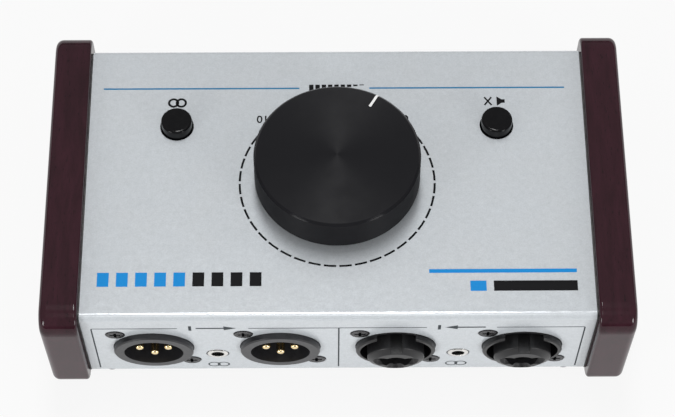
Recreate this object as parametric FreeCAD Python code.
"""Desktop monitor controller: a sloped steel case between two wooden cheeks.

Frame: millimetres, +Z up, +X to the right of the user, who sits at -Y.  The sockets are on the
+Y side.  The origin is under the middle of the part, on the table that the rubber feet stand on.

Three working frames are used.  The case outline is drawn in the YZ plane.  Whatever stands on the
sloped top is drawn with its own +Z along the top's outward normal and +Y up the slope, and whatever
sits in the rear panel is drawn as it is seen from behind: +X right, +Y up, +Z out of the panel.
"""
import FreeCAD, Part

import math
import os

from FreeCAD import Placement, Rotation, Vector

# ---------------------------------------------------------------- driving dimensions
# Steel case
PANEL_WIDTH = 140.0
CASE_DEPTH = 87.8
REAR_HEIGHT = 41.4
SLOPE_DEG = 8.92
COVER_SHEET = 1.2
BEND_RADIUS = 1.7
LIP_DEPTH = 6.3
TRAY_SHEET = 1.0
SIDE_REVEAL = 0.45
SEAM_CLEARANCE = 0.1
TRAY_SETBACK = 1.6
TRAY_RIM_SETBACK = 0.2

# Wooden cheeks
CHEEK_THICKNESS = 10.4
CHEEK_PROUD_TOP = 2.6
CHEEK_PROUD_REAR = 3.5
CHEEK_PROUD_FRONT = 4.6
CHEEK_DROP = 2.5
CHEEK_CORNER = 6.2
CHEEK_OUTER_ROUND = 2.1
CHEEK_INNER_ROUND = 0.8

# Rubber feet
FOOT_HEIGHT = 3.8
FOOT_RADIUS = 6.3
FOOT_TOE_RADIUS = 5.8
FOOT_TOE_EDGE = 0.4
FOOT_WELL_RADIUS = 3.0
FOOT_WELL_DEPTH = 2.3
FOOT_INSET_X = 14.0
FOOT_INSET_Y = 8.0

# Volume knob and potentiometer, on the sloped top
KNOB_U = 43.6
KNOB_RADIUS = 23.0
KNOB_TOP = 14.3
KNOB_GAP = 3.5
KNOB_CHAMFER = 0.7
KNOB_WALL = 2.5
KNOB_TOP_WALL = 2.8
HUB_RECESS = 1.0
HUB_BOSS_RADIUS = 6.5
HUB_RIM = 1.6
HUB_DISC = 2.2
HUB_RIBS = 8
HUB_RIB_WIDTH = 1.4
GLUE_GAP = 0.1
POINTER_WIDTH = 0.75
POINTER_INNER_RADIUS = 18.2
POINTER_DEPTH = 0.4
POINTER_REST_DEG = 30.0
SHAFT_RADIUS = 3.0
SHAFT_FLAT = 1.5
SHAFT_CLEARANCE = 0.05
SHAFT_ENGAGEMENT = 6.0
SHAFT_IN_POT = 8.5
BUSHING_RADIUS = 4.5
BUSHING_HOLE_CLEARANCE = 0.2
BUSHING_STAND = 3.0
WASHER_RADIUS = 6.5
WASHER_THICKNESS = 0.4
NUT_ACROSS_FLATS = 12.0
NUT_THICKNESS = 2.0
POT_RADIUS = 8.5
POT_GANGS = 4
POT_GROOVE = 0.5
POT_GROOVE_DEPTH = 0.6

# Push buttons, on the sloped top
BUTTON_X = 45.2
BUTTON_U = 62.5
BUTTON_RADIUS = 4.35
BUTTON_GAP = 0.4
BUTTON_PROUD = 3.4
BUTTON_TRAVEL = 2.2
BUTTON_SKIRT = 3.2
BUTTON_ROUND = 0.7
PLUNGER_SIDE = 3.0
PLUNGER_CLEARANCE = 0.08
PLUNGER_IN_CAP = 3.4
PLUNGER_IN_SWITCH = 2.6
SWITCH_SIDE = 8.0
SWITCH_COLLAR = 5.0
SWITCH_COLLAR_HEIGHT = 1.2

# Control board, hung parallel to the top
CONTROL_BOARD_DROP = 14.0
CONTROL_BOARD_U = 33.5
CONTROL_BOARD_LENGTH = 40.5
CONTROL_POST_X = 52.8
CONTROL_POST_INSET = 4.5
CONTROL_BOARD_MARGIN = 3.2

# Sockets in the rear panel
SOCKET_OUTER_X = 51.1
SOCKET_INNER_X = 16.0
SOCKET_DROP = 22.2
COLLAR_RADIUS = 11.0
COLLAR_PROUD = 1.65
COLLAR_CLEARANCE = 0.2
COLLAR_EDGE = 0.35
SOCKET_HALF = 12.5
SOCKET_FLANGE = 2.6
SOCKET_CORNER = 2.2
SADDLE_HALF = 8.4
MALE_BORE_RADIUS = 8.2
MALE_BORE_DEPTH = 14.5
MALE_BODY_DEPTH = 20.0
MALE_BARREL_RADIUS = 10.0
PIN_CIRCLE_RADIUS = 4.0
PIN_RADIUS = 1.2
PIN_TIP_EDGE = 0.6
PIN_TIP_PROUD = 0.5
COMBO_RING_WALL = 1.1
COMBO_CAVITY_DEPTH = 14.0
COMBO_BODY_DEPTH = 24.0
COMBO_NOTCH_WIDTH = 10.6
INSERT_RADIUS = 7.9
INSERT_SHOULDER = 3.45
INSERT_TIP = 4.5
INSERT_TIP_RADIUS = 5.7
INSERT_ROUND = 0.6
INSERT_KEYWAY_WIDTH = 3.3
INSERT_KEYWAY_DEPTH = 2.0
JACK_BORE_RADIUS = 3.2
JACK_BORE_DEPTH = 24.0
CONTACT_HOLE_RADIUS = 1.4
CONTACT_RECESS = 6.0
STAR_DEPTH = 5.0
STAR_FLARE = 1.2
LEG_RADIUS = 0.45
LEG_STICKOUT = 1.4
LEG_HOLE_CLEARANCE = 0.15

# Small stereo jacks in the rear panel
MINI_JACK_X = 33.6
MINI_JACK_DROP = 27.5
MINI_HOLE_RADIUS = 3.25
MINI_NOSE_RADIUS = 2.9
MINI_NOSE_PROUD = 0.2
MINI_BORE_RADIUS = 1.8
MINI_BORE_DEPTH = 14.0
MINI_BODY_WIDTH = 8.0
MINI_BODY_LENGTH = 16.0
MINI_BODY_ABOVE = 4.0

# Connector board, flat above the tray
BOARD_THICKNESS = 1.6
BOARD_SIDE_MARGIN = 0.7
BOARD_LENGTH = 34.0
BOARD_EDGE_GAP = 0.5
BOARD_POST_INSET = 4.3
BOARD_FRONT_POST_DEPTH = 31.5
BOARD_REAR_POST_DEPTH = 21.5

# Ribbon between the two boards
RIBBON_WIDTH = 12.7
RIBBON_THICKNESS = 0.9
RIBBON_BEND = 4.0
RIBBON_STRAIGHT = 1.5
RIBBON_LEAD = 1.0
HEADER_WIDTH = 16.0
HEADER_LENGTH = 4.0
HEADER_HEIGHT = 5.0
HEADER_U = 42.0

# Fasteners
SCREW_RADIUS = 1.45
SCREW_CLEARANCE = 0.1
SCREW_HEAD_RADIUS = 2.7
PAN_HEAD_HEIGHT = 1.7
PAN_HEAD_EDGE = 0.6
CROSS_WIDTH = 0.75
CROSS_SPAN = 3.0
CROSS_DEPTH = 0.8
COUNTERSUNK_DOME = 0.2
CONNECTOR_SCREW_X = 10.0
CONNECTOR_SCREW_Y = 10.2
CONNECTOR_SCREW_LENGTH = 6.0
CASE_SCREW_X = 64.5
CASE_SCREW_LENGTH = 4.5
CHEEK_SCREW_INSET = 20.0
CHEEK_SCREW_Z = 15.0
CHEEK_SCREW_BITE = 6.5
POST_RADIUS = 2.7
BOARD_SCREW_BITE = 3.0
FOOT_SCREW_BITE = 2.0

# ---------------------------------------------------------------- derived places
SLOPE = math.radians(SLOPE_DEG)
FRONT_OVERHANG = CHEEK_PROUD_FRONT
REAR_OVERHANG = max(CHEEK_PROUD_REAR, INSERT_TIP)
TOTAL_DEPTH = CASE_DEPTH + FRONT_OVERHANG + REAR_OVERHANG
REAR_Y = TOTAL_DEPTH / 2 - REAR_OVERHANG
FRONT_Y = REAR_Y - CASE_DEPTH
TRAY_Z = FOOT_HEIGHT
COVER_Z = TRAY_Z + TRAY_SHEET
CORNER_Z = COVER_Z + REAR_HEIGHT
FRONT_Z = CORNER_Z - CASE_DEPTH * math.tan(SLOPE)
HALF_PANEL = PANEL_WIDTH / 2
CHEEK_INNER_X = HALF_PANEL + SIDE_REVEAL
SOCKET_Z = CORNER_Z - SOCKET_DROP
MINI_JACK_Z = CORNER_Z - MINI_JACK_DROP
BOARD_TOP_Z = SOCKET_Z - SOCKET_HALF
BOARD_Z = BOARD_TOP_Z - BOARD_THICKNESS
BOARD_HALF = SOCKET_OUTER_X + SOCKET_HALF + BOARD_SIDE_MARGIN
CONTROL_TOP_N = -CONTROL_BOARD_DROP
CONTROL_BOTTOM_N = CONTROL_TOP_N - BOARD_THICKNESS
POINTER_ANGLE = -90.0 - POINTER_REST_DEG
X_AXIS = Vector(1, 0, 0)
Y_AXIS = Vector(0, 1, 0)
Z_AXIS = Vector(0, 0, 1)
ORIGIN = Vector(0, 0, 0)
HAIR = 0.01

OUTPUTS = {"output_outer": SOCKET_OUTER_X, "output_inner": SOCKET_INNER_X}
INPUTS = {"input_inner": -SOCKET_INNER_X, "input_outer": -SOCKET_OUTER_X}
MINI_JACKS = {"output_mini_jack": MINI_JACK_X, "input_mini_jack": -MINI_JACK_X}
BUTTONS = {"mono": BUTTON_X, "mute": -BUTTON_X}


# ---------------------------------------------------------------- drawing helpers
def rounded_face(corners, radii):
    """A flat face in the YZ plane with each of its (y, z) corners rounded to its own radius."""
    count = len(corners)
    points = [Vector(0, y, z) for y, z in corners]
    ends = []
    for i, point in enumerate(points):
        before = (points[i - 1] - point).normalize()
        after = (points[(i + 1) % count] - point).normalize()
        half_turn = before.getAngle(after) / 2
        reach = radii[i] / math.tan(half_turn)
        middle = (before + after).normalize()
        depth = radii[i] / math.sin(half_turn) - radii[i]
        ends.append((point + before * reach, point + middle * depth, point + after * reach))
    edges = []
    for i, (start, middle, end) in enumerate(ends):
        edges.append(Part.Arc(start, middle, end).toShape())
        edges.append(Part.LineSegment(end, ends[(i + 1) % count][0]).toShape())
    return Part.Face(Part.Wire(edges))


def case_corners(inset):
    """Corners (y, z) of the case's side outline, moved inwards by inset."""
    rear = REAR_Y - inset
    front = FRONT_Y + inset
    bottom = COVER_Z + inset
    drop = inset / math.cos(SLOPE)

    def top(y):
        return CORNER_Z + (y - REAR_Y) * math.tan(SLOPE) - drop

    return [(rear, bottom), (rear, top(rear)), (front, top(front)), (front, bottom)]


def side_extrusion(face, x_from, x_to):
    """A face of the YZ plane extruded from one X to another."""
    solid = face.extrude(X_AXIS * (x_to - x_from))
    solid.translate(X_AXIS * x_from)
    return solid


def on_top(x, u):
    """Placement of a piece that stands on the top, u down the slope from the rear corner."""
    y = REAR_Y - u * math.cos(SLOPE)
    z = CORNER_Z - u * math.sin(SLOPE)
    return Placement(Vector(x, y, z), Rotation(X_AXIS, SLOPE_DEG))


def on_rear(x, z):
    """Placement of a piece that sits in the rear panel, drawn as it is seen from behind."""
    turn = Rotation(-X_AXIS, Z_AXIS, Y_AXIS, "ZXY")
    return Placement(Vector(x, REAR_Y, z), turn)


def placed(shape, placement):
    """A copy of a shape moved from its drawing frame into the part's frame."""
    moved = shape.copy()
    moved.Placement = placement.multiply(moved.Placement)
    return moved


def cylinder(radius, z_from, z_to, x=0.0, y=0.0):
    """An upright cylinder between two heights."""
    return Part.makeCylinder(radius, z_to - z_from, Vector(x, y, z_from))


def block(x_from, x_to, y_from, y_to, z_from, z_to):
    """A box between two corners."""
    size = (x_to - x_from, y_to - y_from, z_to - z_from)
    return Part.makeBox(*size, Vector(x_from, y_from, z_from))


def centred_block(width, length, z_from, z_to):
    """A box centred on the Z axis between two heights."""
    return block(-width / 2, width / 2, -length / 2, length / 2, z_from, z_to)


def revolved(points):
    """A solid turned about the Z axis from (radius, z) points."""
    wire = Part.makePolygon([Vector(r, 0, z) for r, z in points + points[:1]])
    return Part.Face(wire).revolve(ORIGIN, Z_AXIS, 360)


def edges_at(shape, z):
    """The edges of a shape that lie wholly at one height."""
    return [e for e in shape.Edges if all(abs(v.Z - z) < HAIR for v in e.Vertexes)]


def mirrored_pairs(x_distance, y_places):
    """The four (x, y) places of a pattern that is symmetric about the YZ plane."""
    return [(side * x_distance, y) for side in (-1, 1) for y in y_places]


def group(solids):
    """Separate solids kept together in one node."""
    return Part.makeCompound(solids)


# ---------------------------------------------------------------- fasteners
def cross_recess(z_top):
    """The cross-shaped slot cut down into a screw head from z_top."""
    low = z_top - CROSS_DEPTH
    bar = centred_block(CROSS_SPAN, CROSS_WIDTH, low, z_top + CROSS_DEPTH)
    return bar.fuse(centred_block(CROSS_WIDTH, CROSS_SPAN, low, z_top + CROSS_DEPTH))


def pan_screw(grip):
    """A pan-head screw drawn with the underside of its head at z=0 and its shank going down."""
    shank = cylinder(SCREW_RADIUS, -grip, 0)
    head = cylinder(SCREW_HEAD_RADIUS, 0, PAN_HEAD_HEIGHT)
    head = head.makeChamfer(PAN_HEAD_EDGE, edges_at(head, PAN_HEAD_HEIGHT))
    return head.fuse(shank).cut(cross_recess(PAN_HEAD_HEIGHT)).removeSplitter()


def countersink(extra):
    """The cone under a countersunk head whose rim is flush with z=0, grown by extra."""
    slope_height = SCREW_HEAD_RADIUS - SCREW_RADIUS
    return Part.makeCone(SCREW_RADIUS + extra, SCREW_HEAD_RADIUS + extra, slope_height,
                         Vector(0, 0, -slope_height))


def countersunk_screw():
    """A raised countersunk screw with its head's rim flush with the panel at z=0."""
    shank = cylinder(SCREW_RADIUS, -CONNECTOR_SCREW_LENGTH, -COUNTERSUNK_DOME)
    crown = SCREW_HEAD_RADIUS - COUNTERSUNK_DOME
    dome = Part.makeCone(SCREW_HEAD_RADIUS, crown, COUNTERSUNK_DOME)
    solid = shank.fuse([countersink(0), dome])
    return solid.cut(cross_recess(COUNTERSUNK_DOME)).removeSplitter()


# ---------------------------------------------------------------- case
def socket_places():
    """X of the four big sockets."""
    return list(OUTPUTS.values()) + list(INPUTS.values())


def connector_screw_places():
    """X and Z of the screws that hold the sockets: upper left and lower right from behind."""
    places = []
    for x in socket_places():
        places.append((x + CONNECTOR_SCREW_X, SOCKET_Z + CONNECTOR_SCREW_Y))
        places.append((x - CONNECTOR_SCREW_X, SOCKET_Z - CONNECTOR_SCREW_Y))
    return places


def case_screw_places():
    """X and Y of the screws that go up through the tray into the cover's lips."""
    inset = (COVER_SHEET + LIP_DEPTH) / 2
    return mirrored_pairs(CASE_SCREW_X, (FRONT_Y + inset, REAR_Y - inset))


def top_cutouts():
    """Tools for the holes in the sloped top."""
    reach = 2 * COVER_SHEET
    hole = cylinder(BUSHING_RADIUS + BUSHING_HOLE_CLEARANCE, -reach, reach)
    tools = [placed(hole, on_top(0, KNOB_U))]
    for x in BUTTONS.values():
        tools.append(placed(cylinder(BUTTON_RADIUS + BUTTON_GAP, -reach, reach), on_top(x, BUTTON_U)))
    return tools


def rear_cutouts():
    """Tools for the holes in the rear panel."""
    reach = 2 * COVER_SHEET
    tools = []
    for x in socket_places():
        tools.append(placed(cylinder(COLLAR_RADIUS + COLLAR_CLEARANCE, -reach, reach), on_rear(x, SOCKET_Z)))
    for x in MINI_JACKS.values():
        tools.append(placed(cylinder(MINI_HOLE_RADIUS, -reach, reach), on_rear(x, MINI_JACK_Z)))
    screw_hole = cylinder(SCREW_RADIUS + SCREW_CLEARANCE, -reach, reach).fuse(countersink(SCREW_CLEARANCE))
    for x, z in connector_screw_places():
        tools.append(placed(screw_hole, on_rear(x, z)))
    return tools


def top_cover():
    """The bent sheet that makes the top, the rear panel, the front and two bottom lips."""
    outer = rounded_face(case_corners(0), [BEND_RADIUS] * 4)
    inner = rounded_face(case_corners(COVER_SHEET), [BEND_RADIUS - COVER_SHEET] * 4)
    shell = side_extrusion(outer.cut(inner), -HALF_PANEL, HALF_PANEL)
    below = COVER_Z - COVER_SHEET
    lip_top = COVER_Z + 2 * COVER_SHEET
    window = block(-HALF_PANEL, HALF_PANEL, FRONT_Y + LIP_DEPTH, REAR_Y - LIP_DEPTH, below, lip_top)
    tools = [window] + top_cutouts() + rear_cutouts()
    lip_end = HALF_PANEL + SIDE_REVEAL - TRAY_SHEET - SEAM_CLEARANCE
    for low, high in ((-HALF_PANEL, -lip_end), (lip_end, HALF_PANEL)):
        tools.append(block(low, high, FRONT_Y + COVER_SHEET, REAR_Y - COVER_SHEET, below, lip_top))
    for x, y in case_screw_places():
        tools.append(cylinder(SCREW_RADIUS, below, lip_top, x, y))
    return shell.cut(tools)


def foot_places():
    """X and Y of the four feet, by node name."""
    x = HALF_PANEL - FOOT_INSET_X
    rows = {"front": FRONT_Y + FOOT_INSET_Y, "rear": REAR_Y - FOOT_INSET_Y}
    sides = {"left": -x, "right": x}
    return {f"foot_{row}_{side}": (sides[side], rows[row]) for row in rows for side in sides}


def cheek_screw_places():
    """Y and Z of the wood screws in each side wall."""
    return [(FRONT_Y + CHEEK_SCREW_INSET, CHEEK_SCREW_Z), (REAR_Y - CHEEK_SCREW_INSET, CHEEK_SCREW_Z)]


def wall_layer(inset, thickness):
    """A plate of the right side wall, measured inwards from the cheek's face."""
    corners = case_corners(inset)
    rear, front = corners[0][0], corners[3][0]
    corners[0] = (rear, TRAY_Z)
    corners[3] = (front, TRAY_Z)
    outline = rounded_face(corners, [BEND_RADIUS] * 4)
    return side_extrusion(outline, CHEEK_INNER_X - thickness, CHEEK_INNER_X)


def tray_wall(side):
    """One upright side wall of the tray: it fills the cover's outline and its rim covers the edge."""
    core = wall_layer(COVER_SHEET + SEAM_CLEARANCE, TRAY_SHEET)
    rim = wall_layer(TRAY_RIM_SETBACK, SIDE_REVEAL - SEAM_CLEARANCE)
    wall = core.fuse(rim).removeSplitter()
    return wall if side > 0 else wall.mirror(ORIGIN, X_AXIS)


def base_tray():
    """The black steel tray: a floor under the lips and two side walls between cover and cheeks."""
    half = HALF_PANEL + SIDE_REVEAL
    floor = block(-half, half, FRONT_Y + TRAY_SETBACK, REAR_Y - TRAY_SETBACK, TRAY_Z, COVER_Z)
    tray = floor.fuse([tray_wall(-1), tray_wall(1)]).removeSplitter()
    tools = []
    hole_radius = SCREW_RADIUS + SCREW_CLEARANCE
    for x, y in foot_places().values():
        tools.append(cylinder(SCREW_RADIUS, TRAY_Z - TRAY_SHEET, COVER_Z + TRAY_SHEET, x, y))
    for x, y in case_screw_places():
        tools.append(cylinder(hole_radius, TRAY_Z - TRAY_SHEET, COVER_Z + TRAY_SHEET, x, y))
    for y, z in cheek_screw_places():
        tools.append(Part.makeCylinder(hole_radius, 2 * half, Vector(-half, y, z), X_AXIS))
    return tray.cut(tools)


def cheek(side):
    """One lacquered wooden side board with rolled edges, bored for its two screws."""
    drop = CHEEK_PROUD_TOP / math.cos(SLOPE)

    def top(y):
        return CORNER_Z + (y - REAR_Y) * math.tan(SLOPE) + drop

    rear = REAR_Y + CHEEK_PROUD_REAR
    front = FRONT_Y - CHEEK_PROUD_FRONT
    bottom = COVER_Z - CHEEK_DROP
    corners = [(rear, bottom), (rear, top(rear)), (front, top(front)), (front, bottom)]
    outline = rounded_face(corners, [CHEEK_CORNER] * 4)
    outer_x = CHEEK_INNER_X + CHEEK_THICKNESS
    board = side_extrusion(outline, CHEEK_INNER_X, outer_x)
    outer_edges = [e for e in board.Edges if all(abs(v.X - outer_x) < HAIR for v in e.Vertexes)]
    board = board.makeFillet(CHEEK_OUTER_ROUND, outer_edges)
    inner_edges = [e for e in board.Edges if all(abs(v.X - CHEEK_INNER_X) < HAIR for v in e.Vertexes)]
    board = board.makeFillet(CHEEK_INNER_ROUND, inner_edges)
    pilot = SCREW_RADIUS + SHAFT_CLEARANCE
    depth = CHEEK_SCREW_BITE + SCREW_CLEARANCE
    for y, z in cheek_screw_places():
        board = board.cut(Part.makeCylinder(pilot, depth, Vector(CHEEK_INNER_X, y, z), X_AXIS))
    return board if side > 0 else board.mirror(ORIGIN, X_AXIS)


def cheek_screws():
    """Wood screws driven outwards through the tray's walls into the cheeks."""
    grip = TRAY_SHEET + CHEEK_SCREW_BITE
    screws = []
    wall = CHEEK_INNER_X - TRAY_SHEET
    for side in (-1, 1):
        turn = Rotation(Y_AXIS, -90 * side)
        for y, z in cheek_screw_places():
            screws.append(placed(pan_screw(grip), Placement(Vector(side * wall, y, z), turn)))
    return group(screws)


def foot(x, y):
    """A moulded rubber foot: a tapered disc with a deep well for its screw."""
    body = Part.makeCone(FOOT_TOE_RADIUS, FOOT_RADIUS, FOOT_HEIGHT)
    toe = edges_at(body, 0)
    body = body.makeChamfer(FOOT_TOE_EDGE, toe)
    well = cylinder(FOOT_WELL_RADIUS, -HAIR, FOOT_WELL_DEPTH)
    body = body.cut([well, cylinder(SCREW_RADIUS + SCREW_CLEARANCE, 0, FOOT_HEIGHT)])
    body.translate(Vector(x, y, 0))
    return body


def foot_screws():
    """Pan-head screws in the wells of the feet."""
    turn = Rotation(X_AXIS, 180)
    grip = FOOT_HEIGHT - FOOT_WELL_DEPTH + TRAY_SHEET + FOOT_SCREW_BITE
    return group([placed(pan_screw(grip), Placement(Vector(x, y, FOOT_WELL_DEPTH), turn))
                  for x, y in foot_places().values()])


def case_screws():
    """Pan-head screws that hold the cover's lips down on the tray."""
    turn = Rotation(X_AXIS, 180)
    return group([placed(pan_screw(CASE_SCREW_LENGTH), Placement(Vector(x, y, TRAY_Z), turn))
                  for x, y in case_screw_places()])


# ---------------------------------------------------------------- volume knob
def d_section(radius, flat, z_from, z_to):
    """A round bar with one flat, at distance flat from its axis."""
    bar = cylinder(radius, z_from, z_to)
    cut = block(-radius, radius, flat, 2 * radius, z_from - HAIR, z_to + HAIR)
    return bar.cut(cut)


def shaft_top():
    """Height of the shaft's end inside the knob."""
    return BUSHING_STAND + SHAFT_ENGAGEMENT + HUB_RECESS


def pot_shaft():
    """The control's turning shaft, round in its bushing and D-shaped in the knob."""
    low = -COVER_SHEET - SHAFT_IN_POT
    plain = cylinder(SHAFT_RADIUS, low, BUSHING_STAND + HAIR)
    end = d_section(SHAFT_RADIUS, SHAFT_FLAT, BUSHING_STAND, shaft_top())
    shaft = plain.fuse(end).removeSplitter()
    return placed(shaft, on_top(0, KNOB_U))


def pointer_slot():
    """The radial groove for the pointer's paint, at the knob's rest position."""
    slot = block(POINTER_INNER_RADIUS, KNOB_RADIUS + POINTER_DEPTH, -POINTER_WIDTH / 2, POINTER_WIDTH / 2,
                 KNOB_TOP - POINTER_DEPTH, KNOB_TOP + POINTER_DEPTH)
    slot.rotate(ORIGIN, Z_AXIS, POINTER_ANGLE)
    return slot


def knob_blank():
    """The turned aluminium cup before its pointer groove is cut."""
    cup = cylinder(KNOB_RADIUS, KNOB_GAP, KNOB_TOP)
    cup = cup.makeChamfer(KNOB_CHAMFER, edges_at(cup, KNOB_TOP))
    cup = cup.makeChamfer(KNOB_CHAMFER / 2, edges_at(cup, KNOB_GAP))
    return cup.cut(cylinder(KNOB_RADIUS - KNOB_WALL, 0, KNOB_TOP - KNOB_TOP_WALL))


def knob_cap():
    """The aluminium cup that the hand turns."""
    return placed(knob_blank().cut(pointer_slot()), on_top(0, KNOB_U))


def knob_pointer():
    """The white paint that fills the pointer groove flush."""
    return placed(knob_blank().common(pointer_slot()), on_top(0, KNOB_U))


def knob_hub():
    """The moulded hub glued into the cup: disc, rim, ribs and a boss with a D-shaped bore."""
    rim_radius = KNOB_RADIUS - KNOB_WALL - GLUE_GAP
    low = KNOB_GAP + HUB_RECESS
    high = KNOB_TOP - KNOB_TOP_WALL
    disc = cylinder(rim_radius, high - HUB_DISC, high)
    rim = cylinder(rim_radius, low, high).cut(cylinder(rim_radius - HUB_RIM, low, high))
    pieces = [rim, cylinder(HUB_BOSS_RADIUS, low, high)]
    for i in range(HUB_RIBS):
        rib = block(HUB_BOSS_RADIUS - HUB_RIB_WIDTH, rim_radius - HUB_RIM / 2,
                    -HUB_RIB_WIDTH / 2, HUB_RIB_WIDTH / 2, low + HUB_RECESS, high - HAIR)
        rib.rotate(ORIGIN, Z_AXIS, 360 * i / HUB_RIBS)
        pieces.append(rib)
    hub = disc.fuse(pieces).removeSplitter()
    bore = d_section(SHAFT_RADIUS + SHAFT_CLEARANCE, SHAFT_FLAT + SHAFT_CLEARANCE, 0, shaft_top() + GLUE_GAP)
    return placed(hub.cut(bore), on_top(0, KNOB_U))


# ---------------------------------------------------------------- potentiometer
def pot_body():
    """The ganged control: a grooved stack with its bushing standing through the top."""
    top = -COVER_SHEET
    bottom = CONTROL_TOP_N
    pitch = (top - bottom) / POT_GANGS
    stack = cylinder(POT_RADIUS, bottom, top)
    ring = cylinder(POT_RADIUS + POT_GROOVE, -POT_GROOVE / 2, POT_GROOVE / 2)
    ring = ring.cut(cylinder(POT_RADIUS - POT_GROOVE_DEPTH, -POT_GROOVE, POT_GROOVE))
    for i in range(1, POT_GANGS):
        groove = ring.copy()
        groove.translate(Vector(0, 0, bottom + i * pitch))
        stack = stack.cut(groove)
    body = stack.fuse(cylinder(BUSHING_RADIUS, top, BUSHING_STAND))
    bore_floor = top - SHAFT_IN_POT - GLUE_GAP
    body = body.cut(cylinder(SHAFT_RADIUS + SHAFT_CLEARANCE, bore_floor, BUSHING_STAND))
    return placed(body, on_top(0, KNOB_U))


def pot_washer():
    """The flat washer on the top panel."""
    hole = BUSHING_RADIUS + SHAFT_CLEARANCE
    washer = cylinder(WASHER_RADIUS, 0, WASHER_THICKNESS).cut(cylinder(hole, 0, WASHER_THICKNESS))
    return placed(washer, on_top(0, KNOB_U))


def pot_nut():
    """The thin hexagon nut that clamps the control to the top panel."""
    corner = NUT_ACROSS_FLATS / 2 / math.cos(math.radians(30))
    points = [Vector(corner, 0, WASHER_THICKNESS)]
    turn = Rotation(Z_AXIS, 60)
    for _ in range(6):
        points.append(turn.multVec(points[-1]))
    nut = Part.Face(Part.makePolygon(points)).extrude(Z_AXIS * NUT_THICKNESS)
    nut = nut.cut(cylinder(BUSHING_RADIUS + SHAFT_CLEARANCE, 0, 2 * NUT_THICKNESS))
    return placed(nut, on_top(0, KNOB_U))


# ---------------------------------------------------------------- push buttons
def button_cap(x):
    """The round button cap, with a square socket for its plunger."""
    cap = cylinder(BUTTON_RADIUS, -BUTTON_SKIRT, BUTTON_PROUD)
    cap = cap.makeFillet(BUTTON_ROUND, edges_at(cap, BUTTON_PROUD))
    side = PLUNGER_SIDE + 2 * PLUNGER_CLEARANCE
    socket_top = -BUTTON_SKIRT + PLUNGER_IN_CAP + PLUNGER_CLEARANCE
    cap = cap.cut(centred_block(side, side, -BUTTON_SKIRT, socket_top))
    return placed(cap, on_top(x, BUTTON_U))


def switch_top():
    """Height of the switch's collar, clear of the cap's skirt at the end of its travel."""
    return -BUTTON_SKIRT - BUTTON_TRAVEL - PLUNGER_CLEARANCE


def button_plunger(x):
    """The square plunger between the cap and the inside of the switch."""
    low = switch_top() - PLUNGER_IN_SWITCH
    plunger = centred_block(PLUNGER_SIDE, PLUNGER_SIDE, low, -BUTTON_SKIRT + PLUNGER_IN_CAP)
    return placed(plunger, on_top(x, BUTTON_U))


def switch_body(x):
    """The push-push switch on the control board, with a guide collar and a blind plunger slot."""
    top = switch_top()
    case_top = top - SWITCH_COLLAR_HEIGHT
    body = centred_block(SWITCH_SIDE, SWITCH_SIDE, CONTROL_TOP_N, case_top)
    body = body.fuse(centred_block(SWITCH_COLLAR, SWITCH_COLLAR, case_top, top))
    side = PLUNGER_SIDE + 2 * PLUNGER_CLEARANCE
    floor = top - PLUNGER_IN_SWITCH - BUTTON_TRAVEL - PLUNGER_CLEARANCE
    body = body.cut(centred_block(side, side, floor, top))
    return placed(body, on_top(x, BUTTON_U))


# ---------------------------------------------------------------- boards
def control_post_places():
    """X and distance down the slope of the four posts under the top."""
    last = CONTROL_BOARD_U + CONTROL_BOARD_LENGTH
    return mirrored_pairs(CONTROL_POST_X, (CONTROL_BOARD_U + CONTROL_POST_INSET, last - CONTROL_POST_INSET))


def control_board():
    """The board that carries the control and both switches."""
    half = CONTROL_POST_X + CONTROL_BOARD_MARGIN
    last = CONTROL_BOARD_U + CONTROL_BOARD_LENGTH
    board = block(-half, half, -last, -CONTROL_BOARD_U, CONTROL_BOTTOM_N, CONTROL_TOP_N)
    hole_radius = SCREW_RADIUS + SCREW_CLEARANCE
    holes = [cylinder(hole_radius, CONTROL_BOTTOM_N, CONTROL_TOP_N, x, -u) for x, u in control_post_places()]
    return placed(board.cut(holes), on_top(0, 0))


def post(length):
    """A round threaded post standing on z=0."""
    return cylinder(POST_RADIUS, 0, length).cut(cylinder(SCREW_RADIUS + SHAFT_CLEARANCE, 0, length))


def control_board_posts():
    """Posts pressed into the top, which the control board hangs from."""
    length = CONTROL_BOARD_DROP - COVER_SHEET
    posts = []
    for x, u in control_post_places():
        standing = post(length)
        standing.translate(Vector(0, 0, CONTROL_TOP_N))
        posts.append(placed(standing, on_top(x, u)))
    return group(posts)


def control_board_screws():
    """Screws from below that hold the control board to its posts."""
    flip = Placement(Vector(0, 0, CONTROL_BOTTOM_N), Rotation(X_AXIS, 180))
    screw = pan_screw(BOARD_THICKNESS + BOARD_SCREW_BITE)
    return group([placed(screw, on_top(x, u).multiply(flip)) for x, u in control_post_places()])


def board_post_places():
    """X and Y of the four posts under the connector board, clear of the sockets."""
    front = mirrored_pairs(BOARD_HALF - BOARD_POST_INSET, [REAR_Y - BOARD_FRONT_POST_DEPTH])
    between = (SOCKET_OUTER_X + SOCKET_INNER_X) / 2
    return front + mirrored_pairs(between, [REAR_Y - BOARD_REAR_POST_DEPTH])


def male_leg_places(x):
    """X and distance behind the panel of the solder legs of a pin socket."""
    depth = MALE_BODY_DEPTH + PIN_RADIUS
    return [(x - PIN_CIRCLE_RADIUS, depth), (x, depth), (x + PIN_CIRCLE_RADIUS, depth)]


def combo_leg_places(x):
    """X and distance behind the panel of the solder legs of a combination socket."""
    depth = COMBO_BODY_DEPTH + CONTACT_HOLE_RADIUS
    return [(x - PIN_CIRCLE_RADIUS, depth), (x, depth), (x + PIN_CIRCLE_RADIUS, depth)]


def leg_places():
    """X and Y of every solder leg that goes through the connector board."""
    legs = []
    for x in OUTPUTS.values():
        legs += male_leg_places(x)
    for x in INPUTS.values():
        legs += combo_leg_places(x)
    return [(x, REAR_Y - depth) for x, depth in legs]


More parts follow.
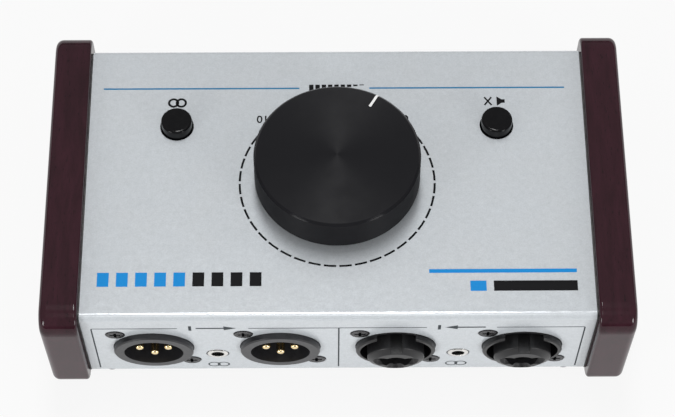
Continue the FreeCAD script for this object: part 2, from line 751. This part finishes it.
def connector_board():
    """The flat board that the sockets stand on."""
    rear = REAR_Y - COVER_SHEET - BOARD_EDGE_GAP
    board = block(-BOARD_HALF, BOARD_HALF, rear - BOARD_LENGTH, rear, BOARD_Z, BOARD_TOP_Z)
    holes = []
    for x, y in board_post_places():
        holes.append(cylinder(SCREW_RADIUS + SCREW_CLEARANCE, BOARD_Z, BOARD_TOP_Z, x, y))
    for x, y in leg_places():
        holes.append(cylinder(LEG_RADIUS + LEG_HOLE_CLEARANCE, BOARD_Z, BOARD_TOP_Z, x, y))
    return board.cut(holes)


def connector_board_posts():
    """Posts that carry the connector board on the tray."""
    posts = []
    for x, y in board_post_places():
        standing = post(BOARD_Z - COVER_Z)
        standing.translate(Vector(x, y, COVER_Z))
        posts.append(standing)
    return group(posts)


def connector_board_screws():
    """Screws from above that hold the connector board to its posts."""
    screws = []
    for x, y in board_post_places():
        screw = pan_screw(BOARD_THICKNESS + BOARD_SCREW_BITE)
        screw.translate(Vector(x, y, BOARD_TOP_Z))
        screws.append(screw)
    return group(screws)


# ---------------------------------------------------------------- ribbon between the boards
def ribbon_path():
    """Start (y, z), bend end (y, z) and top end (y, z) of the ribbon's middle line."""
    n = CONTROL_BOTTOM_N - HEADER_HEIGHT
    top = on_top(0, HEADER_U).multVec(Vector(0, 0, n))
    lead = on_top(0, HEADER_U).multVec(Vector(0, 0, n - RIBBON_LEAD))
    start_y = lead.y + RIBBON_BEND * math.cos(SLOPE)
    start_z = lead.z + RIBBON_BEND * math.sin(SLOPE) - RIBBON_BEND
    return (start_y, start_z), (lead.y, lead.z), (top.y, top.z)


def board_ribbon():
    """The flat ribbon: a straight run, one bend upwards and a lead into the upper header."""
    (start_y, start_z), (lead_y, lead_z), (top_y, top_z) = ribbon_path()
    centre = Vector(0, start_y, start_z + RIBBON_BEND)
    edges = []
    sides = []
    for offset in (-RIBBON_THICKNESS / 2, RIBBON_THICKNESS / 2):
        radius = RIBBON_BEND + offset
        out = Vector(0, start_y + RIBBON_STRAIGHT, start_z - offset)
        start = Vector(0, start_y, start_z - offset)
        half_turn = math.radians(90 - SLOPE_DEG) / 2
        middle = centre + Vector(0, -math.sin(half_turn), -math.cos(half_turn)) * radius
        along = Vector(0, -math.cos(SLOPE), -math.sin(SLOPE)) * offset
        lead = Vector(0, lead_y, lead_z) + along
        top = Vector(0, top_y, top_z) + along
        edges.append(Part.LineSegment(out, start).toShape())
        edges.append(Part.Arc(start, middle, lead).toShape())
        edges.append(Part.LineSegment(lead, top).toShape())
        sides.append((out, top))
    edges.append(Part.LineSegment(sides[0][0], sides[1][0]).toShape())
    edges.append(Part.LineSegment(sides[0][1], sides[1][1]).toShape())
    face = Part.Face(Part.Wire(Part.__sortEdges__(edges)))
    return side_extrusion(face, -RIBBON_WIDTH / 2, RIBBON_WIDTH / 2)


def connector_board_header():
    """The right-angled header on the connector board that the ribbon leaves."""
    (start_y, start_z), _, _ = ribbon_path()
    face_y = start_y + RIBBON_STRAIGHT
    half = HEADER_WIDTH / 2
    return block(-half, half, face_y, face_y + HEADER_LENGTH, BOARD_TOP_Z, start_z + HEADER_HEIGHT / 2)


def control_board_header():
    """The header under the control board that the ribbon enters."""
    body = centred_block(HEADER_WIDTH, HEADER_LENGTH, CONTROL_BOTTOM_N - HEADER_HEIGHT, CONTROL_BOTTOM_N)
    return placed(body, on_top(0, HEADER_U))


# ---------------------------------------------------------------- sockets
def socket_flange():
    """The square flange behind the panel, with its collar standing out through the round hole."""
    low = -COVER_SHEET - SOCKET_FLANGE
    flange = centred_block(2 * SOCKET_HALF, 2 * SOCKET_HALF, low, -COVER_SHEET)
    upright = [e for e in flange.Edges if abs(e.Vertexes[0].Z - e.Vertexes[-1].Z) > HAIR]
    flange = flange.makeFillet(SOCKET_CORNER, upright)
    collar = cylinder(COLLAR_RADIUS, -COVER_SHEET, COLLAR_PROUD)
    collar = collar.makeChamfer(COLLAR_EDGE, edges_at(collar, COLLAR_PROUD))
    return flange.fuse(collar)


def socket_screw_holes():
    """Tools for the two holes that the panel screws bite into."""
    low = -COVER_SHEET - SOCKET_FLANGE
    places = ((-CONNECTOR_SCREW_X, CONNECTOR_SCREW_Y), (CONNECTOR_SCREW_X, -CONNECTOR_SCREW_Y))
    return [cylinder(SCREW_RADIUS + SHAFT_CLEARANCE, low, -COVER_SHEET, x, y) for x, y in places]


def socket_back(barrel_radius, depth):
    """The barrel behind the flange and the saddle that stands it on the board."""
    low = -depth
    high = -COVER_SHEET - SOCKET_FLANGE + HAIR
    barrel = cylinder(barrel_radius, low, high)
    saddle = block(-SADDLE_HALF, SADDLE_HALF, -SOCKET_HALF, 0, low, high)
    return barrel.fuse(saddle)


def male_housing(x):
    """A pin socket's moulded housing: flange, collar and a deep round bore."""
    housing = socket_flange().fuse(socket_back(MALE_BARREL_RADIUS, MALE_BODY_DEPTH))
    tools = [cylinder(MALE_BORE_RADIUS, -MALE_BORE_DEPTH, COLLAR_PROUD)] + socket_screw_holes()
    for px, py in pin_places():
        tools.append(cylinder(PIN_RADIUS, -MALE_BODY_DEPTH, -MALE_BORE_DEPTH + HAIR, px, py))
    housing = housing.cut(tools)
    return placed(housing.removeSplitter(), on_rear(x, SOCKET_Z))


def pin_places():
    """The three pins, or the three holes for them: left, right and bottom of one circle."""
    r = PIN_CIRCLE_RADIUS
    return [(-r, 0.0), (r, 0.0), (0.0, -r)]


def leg(x, y_from, depth):
    """A round solder leg going down from a contact's back end through the board."""
    bottom = BOARD_Z - LEG_STICKOUT - SOCKET_Z
    return Part.makeCylinder(LEG_RADIUS, y_from - bottom, Vector(x, bottom, -depth), Y_AXIS)


def male_pin(px, py):
    """One turned pin with a tapered tip, from behind the housing to the panel's face."""
    pin = cylinder(PIN_RADIUS, -MALE_BODY_DEPTH - 2 * PIN_RADIUS, PIN_TIP_PROUD, px, py)
    return pin.makeChamfer(PIN_TIP_EDGE, edges_at(pin, PIN_TIP_PROUD))


def male_pins(x):
    """The three gold pins of a pin socket."""
    return group([placed(male_pin(px, py), on_rear(x, SOCKET_Z)) for px, py in pin_places()])


def male_tails(x):
    """The solder tails that go from the back ends of the pins down through the board."""
    tails = []
    for px, py in pin_places():
        tail = leg(px, py, MALE_BODY_DEPTH + PIN_RADIUS).cut(male_pin(px, py))
        tails.append(placed(tail, on_rear(x, SOCKET_Z)))
    return group(tails)


def combo_housing(x):
    """A combination socket's housing: notched ring, plug cavity and barrel."""
    housing = socket_flange().fuse(socket_back(COLLAR_RADIUS, COMBO_BODY_DEPTH))
    cavity_radius = COLLAR_RADIUS - COMBO_RING_WALL
    cavity = cylinder(cavity_radius, -COMBO_CAVITY_DEPTH, COLLAR_PROUD)
    notch = block(-COMBO_NOTCH_WIDTH / 2, COMBO_NOTCH_WIDTH / 2, 0, 2 * COLLAR_RADIUS, 0, COLLAR_PROUD)
    tools = [cavity, notch] + socket_screw_holes()
    tools.append(cylinder(JACK_BORE_RADIUS, INSERT_TIP - JACK_BORE_DEPTH, 0))
    for px, py in pin_places():
        tools.append(cylinder(CONTACT_HOLE_RADIUS, -COMBO_BODY_DEPTH, 0, px, py))
    return placed(housing.cut(tools).removeSplitter(), on_rear(x, SOCKET_Z))


def star_opening(z_from, z_to):
    """The three-lobed mouth: a rounded triangle round the flared contact holes and the jack bore."""
    centres = [Vector(px, py, z_from) for px, py in pin_places()]
    left, right, bottom = centres
    r = CONTACT_HOLE_RADIUS
    slant = (bottom - right).cross(Z_AXIS).normalize() * r
    other = Vector(-slant.x, slant.y, 0)
    up = Vector(0, r, 0)
    outline = [left + up, right + up, right - slant, bottom - slant, bottom - other, left - other]
    web = Part.Face(Part.makePolygon(outline + outline[:1])).extrude(Z_AXIS * (z_to - z_from))
    lobes = [cylinder(JACK_BORE_RADIUS, z_from, z_to)]
    for px, py in pin_places():
        lobes.append(cylinder(r, z_from, z_to, px, py))
        lobes.append(Part.makeCone(r, r + STAR_FLARE, STAR_FLARE, Vector(px, py, z_to - STAR_FLARE)))
    return web.fuse(lobes).removeSplitter()


def combo_insert(x):
    """The round insulator in a combination socket, with keyway, star mouth and jack bore."""
    low = -COMBO_CAVITY_DEPTH
    body = revolved([(0, low), (INSERT_RADIUS, low), (INSERT_RADIUS, INSERT_SHOULDER),
                     (INSERT_TIP_RADIUS, INSERT_TIP), (0, INSERT_TIP)])
    body = body.makeFillet(INSERT_ROUND, edges_at(body, INSERT_SHOULDER) + edges_at(body, INSERT_TIP))
    half = INSERT_KEYWAY_WIDTH / 2
    keyway = block(-half, half, INSERT_RADIUS - INSERT_KEYWAY_DEPTH, 2 * INSERT_RADIUS, low, INSERT_TIP)
    tools = [keyway, star_opening(INSERT_TIP - STAR_DEPTH, INSERT_TIP), cylinder(JACK_BORE_RADIUS, low, 0)]
    tools += [cylinder(CONTACT_HOLE_RADIUS, low, 0, px, py) for px, py in pin_places()]
    return placed(body.cut(tools), on_rear(x, SOCKET_Z))


def combo_contacts(x):
    """The three rod contacts beside the jack bore, each with its solder leg."""
    contacts = []
    top = INSERT_TIP - CONTACT_RECESS
    depth = COMBO_BODY_DEPTH + CONTACT_HOLE_RADIUS
    radius = CONTACT_HOLE_RADIUS - SHAFT_CLEARANCE
    jack = cylinder(JACK_BORE_RADIUS + GLUE_GAP, -2 * depth, INSERT_TIP)
    for px, py in pin_places():
        rod = cylinder(radius, -depth - radius, top, px, py).cut(jack)
        contacts.append(placed(rod.fuse(leg(px, py, depth)), on_rear(x, SOCKET_Z)))
    return group(contacts)


def mini_jack_body(x):
    """The small jack's moulded block behind the panel."""
    high = -COVER_SHEET - SEAM_CLEARANCE
    low = BOARD_TOP_Z - MINI_JACK_Z
    half = MINI_BODY_WIDTH / 2
    body = block(-half, half, low, MINI_BODY_ABOVE, high - MINI_BODY_LENGTH, high)
    body = body.cut(cylinder(MINI_BORE_RADIUS, high - MINI_BORE_DEPTH, high))
    return placed(body, on_rear(x, MINI_JACK_Z))


def mini_jack_nose(x):
    """The plated nose of the small jack, nearly flush with the panel."""
    low = -COVER_SHEET - SEAM_CLEARANCE
    nose = cylinder(MINI_NOSE_RADIUS, low, MINI_NOSE_PROUD)
    nose = nose.makeChamfer(MINI_NOSE_PROUD, edges_at(nose, MINI_NOSE_PROUD))
    nose = nose.cut(cylinder(MINI_BORE_RADIUS, low, MINI_NOSE_PROUD))
    return placed(nose, on_rear(x, MINI_JACK_Z))


def connector_screws():
    """The raised countersunk screws in the rear panel."""
    return group([placed(countersunk_screw(), on_rear(x, z)) for x, z in connector_screw_places()])


# ---------------------------------------------------------------- assembly
def build():
    """Every node of the part, by name."""
    nodes = {
        "top_cover": top_cover(),
        "base_tray": base_tray(),
        "left_cheek": cheek(-1),
        "right_cheek": cheek(1),
        "cheek_screws": cheek_screws(),
        "case_screws": case_screws(),
        "foot_screws": foot_screws(),
        "connector_board": connector_board(),
        "connector_board_posts": connector_board_posts(),
        "connector_board_screws": connector_board_screws(),
        "control_board": control_board(),
        "control_board_posts": control_board_posts(),
        "control_board_screws": control_board_screws(),
        "board_ribbon": board_ribbon(),
        "connector_board_header": connector_board_header(),
        "control_board_header": control_board_header(),
        "pot_body": pot_body(),
        "pot_washer": pot_washer(),
        "pot_nut": pot_nut(),
        "pot_shaft": pot_shaft(),
        "knob_hub": knob_hub(),
        "knob_cap": knob_cap(),
        "knob_pointer": knob_pointer(),
        "connector_screws": connector_screws(),
    }
    for name, (x, y) in foot_places().items():
        nodes[name] = foot(x, y)
    for name, x in BUTTONS.items():
        nodes[name + "_cap"] = button_cap(x)
        nodes[name + "_plunger"] = button_plunger(x)
        nodes[name + "_switch"] = switch_body(x)
    for name, x in OUTPUTS.items():
        nodes[name + "_housing"] = male_housing(x)
        nodes[name + "_pins"] = male_pins(x)
        nodes[name + "_tails"] = male_tails(x)
    for name, x in INPUTS.items():
        nodes[name + "_housing"] = combo_housing(x)
        nodes[name + "_insert"] = combo_insert(x)
        nodes[name + "_contacts"] = combo_contacts(x)
    for name, x in MINI_JACKS.items():
        nodes[name + "_body"] = mini_jack_body(x)
        nodes[name + "_nose"] = mini_jack_nose(x)
    return nodes


def main():
    """Write one STEP file for each node."""
    os.makedirs("parts", exist_ok=True)
    for name, shape in build().items():
        shape.exportStep(f"parts/{name}.step")
        print(name, len(shape.Solids), round(shape.Volume, 2), shape.isValid())


main()
